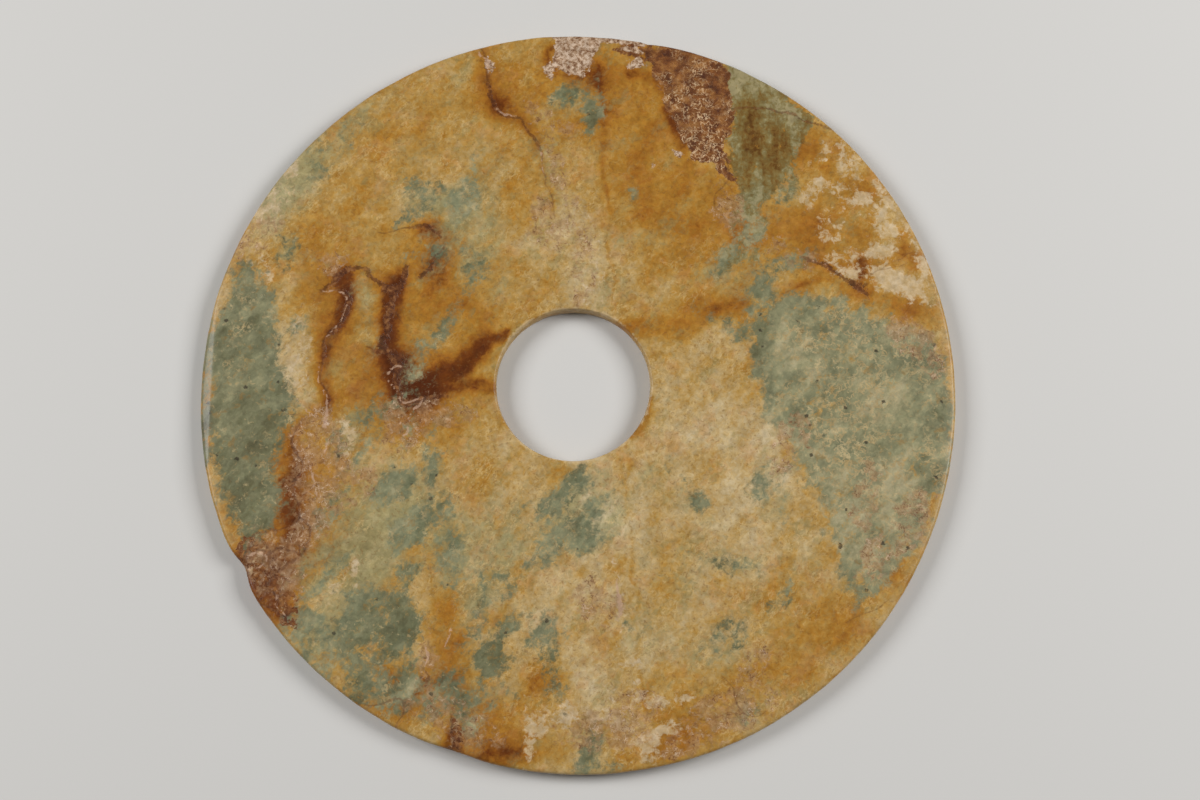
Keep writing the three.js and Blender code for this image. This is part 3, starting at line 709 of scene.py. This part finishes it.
def weathered_jade():
    """Nephrite: iron-stained ground, green windows in it, blush and crusts over it, then veins."""
    material = bpy.data.materials.new("weathered_jade")
    material.use_nodes = True
    tree = material.node_tree
    shader = tree.nodes["Principled BSDF"]
    start = Tone(tree)
    position = start.node("ShaderNodeTexCoord", out="Object")
    mm = position.node("ShaderNodeVectorMath", {"operation": "SCALE"}, {0: position, "Scale": 1 / MM})
    wobble = mm.node("ShaderNodeTexNoise", {}, {"Vector": mm, "Scale": 0.4, "Detail": 2.0}, out="Color")
    wobble = mm.node("ShaderNodeVectorMath", {"operation": "SCALE"}, {0: wobble, "Scale": 2.4})
    bent = mm.node("ShaderNodeVectorMath", {"operation": "ADD"}, {0: mm, 1: wobble})

    def field(name):
        return start.node("ShaderNodeAttribute", {"attribute_name": name}, out="Fac")

    def clouds(size, detail=4.0, shift=0.0, vector=bent):
        # Octaves finer than a quarter of a millimetre are left out
        octaves = min(detail, math.log2(size / 0.25))
        return (vector.noise(size, octaves, 0.65, shift) - 0.5) * 7.0

    def ramp(level, *stops):
        places = [(place, linear(*shade)) for place, shade in stops]
        return start.node("ShaderNodeValToRGB", {"stops": places}, {0: level})

    # The stone's felted fibres lie mostly one way
    fibre_turn = {"Rotation": (0, 0, math.radians(52)), "Scale": (2.2, 1, 1)}
    fibres = mm.node("ShaderNodeMapping", {"vector_type": "TEXTURE"}, {"Vector": bent, **fibre_turn})

    # Ground colour: how much iron the stone holds, mottled coarse, middling and fine
    mottle = clouds(15, 6.0, 10) * 0.13 + clouds(6, 5.0, 20, fibres) * 0.10 + clouds(1.6, 3.0, 30) * 0.07
    iron = field("iron")
    ground = ramp(
        iron + mottle * (1.25 - iron),
        (0.05, (198, 179, 142)), (0.24, (187, 163, 118)), (0.36, (180, 150, 97)), (0.49, (172, 134, 68)),
        (0.62, (164, 116, 42)), (0.77, (150, 96, 30)), (0.89, (108, 56, 14)), (0.99, (80, 36, 8)),
    )
    dusk = (clouds(9, 5.0, 15, fibres) + clouds(3, 3.0, 16) * 0.4).rise(0.4, 1.3)
    ground = ground.under((134, 126, 82), dusk * iron.rise(0.95, 0.65) * 0.42)
    peach = (clouds(11, 5.0, 25) + clouds(3, 4.0, 26) * 0.5).rise(0.1, 1.2)
    ground = ground.under((182, 130, 78), peach * iron.rise(0.8, 0.5) * 0.34)
    mist = (field("mist") + clouds(5, 5.0, 12, fibres) * 0.3 + clouds(1.8, 3.0, 13) * 0.16).rise(0.15, 1.2)
    mist_ground = ramp(
        clouds(4, 4.0, 14) * 0.3 + 0.5, (0.1, (124, 120, 84)), (0.5, (144, 138, 98)), (0.9, (166, 157, 116))
    )
    ground = ground.under(mist_ground, mist * 0.8)
    veiled = clouds(2.6, 4.0, 17, fibres).math("ABSOLUTE").rise(0.30, 0.02)
    veiled = veiled * clouds(9, 3.0, 18).rise(-0.2, 0.7)
    ground = ground.under((204, 176, 122), veiled * iron.rise(0.72, 0.45) * 0.5)
    pits = clouds(1.3, 3.0, 19).rise(0.6, 1.2)
    ground = ground.under((122, 84, 44), pits * 0.4)
    hairlines = clouds(7, 4.0, 27, fibres).math("ABSOLUTE").rise(0.06, 0.0)
    hairlines = hairlines * clouds(14, 4.0, 28).rise(0.2, 0.9)
    ground = ground.under((130, 82, 38), hairlines * 0.45)
    chalk = (field("white") + clouds(6, 6.0, 35) * 2.2 + clouds(1.5, 3.0, 36) * 1.0).rise(-0.8, 1.6)
    chalk_ground = ramp(clouds(2.5, 4.0, 37) * 0.25 + 0.5, (0.1, (178, 149, 100)), (0.8, (204, 184, 152)))
    ground = ground.under(chalk_ground, chalk * 0.85)

    # Green windows, ragged and threaded with tan
    ragged = clouds(9, 6.0, 40, fibres) * 2.6 + clouds(3.2, 4.0, 50) * 1.7 + clouds(1.1, 3.0, 55) * 0.7
    green = (field("green") + ragged).rise(-2.2, 2.2)
    jade = ramp(
        field("paleness") * 0.55 + clouds(16, 6.0, 60) * 0.24 + clouds(5, 5.0, 65, fibres) * 0.20 + 0.42,
        (0.08, (84, 89, 66)), (0.26, (99, 105, 80)), (0.42, (112, 116, 90)), (0.58, (127, 129, 100)),
        (0.72, (142, 140, 108)), (0.90, (164, 157, 124)),
    )
    stained = (clouds(6, 5.0, 68) + clouds(2, 3.0, 69) * 0.4).rise(0.55, 1.3)
    jade = jade.under((138, 108, 58), stained * 0.55)
    ridge = clouds(4.6, 4.0, 70).math("ABSOLUTE")
    threads = ridge.rise(0.34, 0.06) * (clouds(9, 4.0, 80) * 0.7 + field("threaded") * 0.8).rise(0.0, 0.9)
    flecks = clouds(2.2, 4.0, 82).rise(0.7, 1.2) * 0.6
    threads = threads.math("MAXIMUM", flecks)
    thread_tone = ramp(clouds(4, 3.0, 85) * 0.3 + 0.5, (0.2, (162, 138, 94)), (0.8, (190, 172, 130)))
    jade = jade.under(thread_tone, threads * 0.8)
    base = ground.under(jade, green * 0.9)

    olive = (field("olive") + clouds(6, 5.0, 90) * 2.0 + clouds(1.6, 3.0, 92) * 1.0).rise(-1.2, 1.0)
    upright = mm.node("ShaderNodeMapping", {"vector_type": "TEXTURE"}, {"Vector": bent, "Scale": (1, 2.4, 1)})
    olive_ground = ramp(
        field("olive_tone") + clouds(5, 5.0, 95, upright) * 0.34 + clouds(1.8, 4.0, 96) * 0.18 + 0.71,
        (0.05, (84, 52, 18)), (0.25, (104, 74, 32)), (0.45, (114, 91, 46)), (0.65, (120, 104, 62)),
        (0.85, (130, 122, 84)), (1.0, (150, 140, 104)),
    )
    base = base.under(olive_ground, olive * 0.92)

    # Blush
    blush = (field("blush") + clouds(6, 5.0, 100) * 2.0 + clouds(1.6, 3.0, 105) * 1.2).rise(-1.0, 1.6)
    blush_ground = ramp(
        clouds(2.6, 5.0, 110) * 0.26 + 0.5,
        (0.1, (114, 74, 42)), (0.5, (154, 117, 78)), (0.9, (186, 156, 124)),
    )
    base = base.under(blush_ground, blush * 0.6)
    veinlets = clouds(6, 4.0, 112).math("ABSOLUTE").rise(0.14, 0.02) * clouds(5, 3.0, 113).rise(-0.5, 0.4)
    base = base.under((94, 50, 24), veinlets * blush * 0.75)
    bloom = clouds(4, 4.0, 115).math("ABSOLUTE").rise(0.14, 0.02) * clouds(6, 3.0, 116).rise(-0.2, 0.6)
    base = base.under((206, 178, 150), bloom * blush * 0.75)

    # Crusts: pale threads of crystal over pinkish brown
    lace = clouds(2.2, 5.0, 120).math("ABSOLUTE").rise(0.32, 0.03)
    rust = ramp(
        clouds(3.5, 5.0, 130) * 0.34 + 0.5,
        (0.1, (78, 38, 12)), (0.5, (114, 66, 25)), (0.9, (150, 101, 50)),
    )
    brown_crust = (field("brown_crust") + clouds(3.5, 5.0, 140) * 1.3).rise(-0.4, 0.4)
    brown_skin = ramp(clouds(2, 2.0, 145) * 0.3 + 0.5, (0.2, (170, 126, 78)), (0.8, (217, 188, 150)))
    frost = (clouds(5, 4.0, 148) * 0.5 + field("frosted") + 0.1).rise(-0.2, 0.9)
    brown_skin = rust.under(brown_skin, lace * 0.95 * frost)
    base = base.under(brown_skin, brown_crust)
    pale_crust = (field("pale_crust") + clouds(3, 5.0, 150) * 0.9).rise(-0.3, 0.3)
    pale_skin = ramp(
        clouds(1.5, 4.0, 160) * 0.36 + 0.5,
        (0.15, (116, 78, 52)), (0.4, (160, 128, 98)), (0.8, (206, 181, 157)),
    )
    base = base.under(pale_skin, pale_crust)

    # Veins: dark and frayed, with a pale thread down some
    fray = clouds(2.4, 4.0, 170) * 0.45 + clouds(0.9, 3.0, 172) * 0.35
    dark_vein = field("vein_width") * (fray + 1.0) - field("vein_across").math("ABSOLUTE")
    dark_vein = dark_vein.rise(-0.25, 0.35) * field("vein_reach").rise(-1.2, -0.5)
    vein_tone = ramp(
        clouds(2, 4.0, 175) * 0.34 + 0.5,
        (0.1, (54, 25, 9)), (0.5, (90, 48, 20)), (0.9, (140, 94, 54)),
    )
    dark_vein = dark_vein * (field("vein_width").rise(0.1, 1.1) * 0.45 + 0.4)
    base = base.under(vein_tone, dark_vein)
    pale_vein = (field("pale_vein") + clouds(1.6, 3.0, 180) * 0.25).rise(-0.1, 0.25)
    pale_vein = pale_vein * field("pale_reach").rise(-1.2, -0.4)
    base = base.under((192, 158, 132), pale_vein * 0.65)

    # A painted highlight: a pale, broken ring along the hole's lip, where light catches its edge
    painted_lip_highlight = (field("lip") + clouds(1.5, 3.0, 185) * 0.25).rise(0.3, 0.8)
    base = base.under((196, 172, 132), painted_lip_highlight * 0.7)

    # Dark specks in the green, one to a cell, and none in about a third of the cells
    cells = start.node("ShaderNodeTexVoronoi", {}, {"Vector": mm, "Scale": 0.14}, out="Distance")
    cell_tone = start.node("ShaderNodeTexVoronoi", {}, {"Vector": mm, "Scale": 0.14}, out="Color")
    kept = start.node("ShaderNodeSeparateColor", {}, {0: cell_tone}).rise(0.3, 0.35)
    specks = (cells + clouds(0.8, 2.0, 190) * 0.03).rise(0.13, 0.08) * kept * green
    base = base.under((52, 44, 34), specks * 0.8)
    grain = clouds(2.2, 6.0, 220) * 0.12 + clouds(8, 4.0, 225) * 0.07 + 0.99
    base = base.node("ShaderNodeHueSaturation", {}, {"Color": base, "Value": grain})
    tree.links.new(base.socket, shader.inputs["Base Color"])

    rough_skin = brown_crust.math("MAXIMUM", pale_crust)
    roughness = rough_skin * 0.3 + blush * 0.10 + dark_vein * 0.12 + clouds(3, 3.0, 200) * 0.03 + 0.33
    tree.links.new(roughness.socket, shader.inputs["Roughness"])
    weathered = field("blush").rise(-1.0, 1.6)
    height = clouds(0.9, 3.0, 210) * (rough_skin * 0.12 + weathered * 0.03 + 0.008) - dark_vein * 0.10
    bump = start.node("ShaderNodeBump", {}, {"Height": height, "Strength": 0.6, "Distance": MM}, out="Normal")
    tree.links.new(bump.socket, shader.inputs["Normal"])
    shader.inputs["IOR"].default_value = 1.61
    shader.inputs["Specular IOR Level"].default_value = 0.2
    return material


disc_mesh.materials.append(weathered_jade())


# ----------------------------------------------------------------------------------------------------------
# Studio: a pale floor, and soft lamps to the left and right, as on a copy stand.

FLOOR_HALF = 1.6
floor_mesh = bpy.data.meshes.new("floor")
floor_corners = [(-FLOOR_HALF, -FLOOR_HALF, 0), (FLOOR_HALF, -FLOOR_HALF, 0), (FLOOR_HALF, FLOOR_HALF, 0),
                 (-FLOOR_HALF, FLOOR_HALF, 0)]
floor_mesh.from_pydata(floor_corners, [], [(0, 1, 2, 3)])
floor = bpy.data.objects.new("floor", floor_mesh)
bpy.context.collection.objects.link(floor)
floor_paint = bpy.data.materials.new("floor_paint")
floor_paint.use_nodes = True
floor_shader = floor_paint.node_tree.nodes["Principled BSDF"]
floor_shader.inputs["Base Color"].default_value = (0.62, 0.61, 0.59, 1)
floor_shader.inputs["Roughness"].default_value = 0.9
floor_shader.inputs["Specular IOR Level"].default_value = 0.1
floor_mesh.materials.append(floor_paint)


def soft_lamp(name, place, size, watts):
    """A square area lamp at a place, facing the origin."""
    lamp_data = bpy.data.lights.new(name, "AREA")
    lamp_data.size = size
    lamp_data.energy = watts
    lamp = bpy.data.objects.new(name, lamp_data)
    lamp.location = place
    facing = -np.array(place) / np.linalg.norm(place)
    lamp.rotation_euler = (math.acos(-facing[2]), 0, math.atan2(facing[1], facing[0]) - math.pi / 2)
    bpy.context.collection.objects.link(lamp)


soft_lamp("right_lamp", (1.15, 0.25, 0.95), 0.7, 17.9)
soft_lamp("left_lamp", (-1.15, 0.25, 0.95), 0.7, 15.9)

world = bpy.data.worlds.new("world")
world.use_nodes = True
world.node_tree.nodes["Background"].inputs["Color"].default_value = (1, 0.98, 0.95, 1)
world.node_tree.nodes["Background"].inputs["Strength"].default_value = 0.11
bpy.context.scene.world = world
bpy.context.scene.view_settings.view_transform = "Standard"
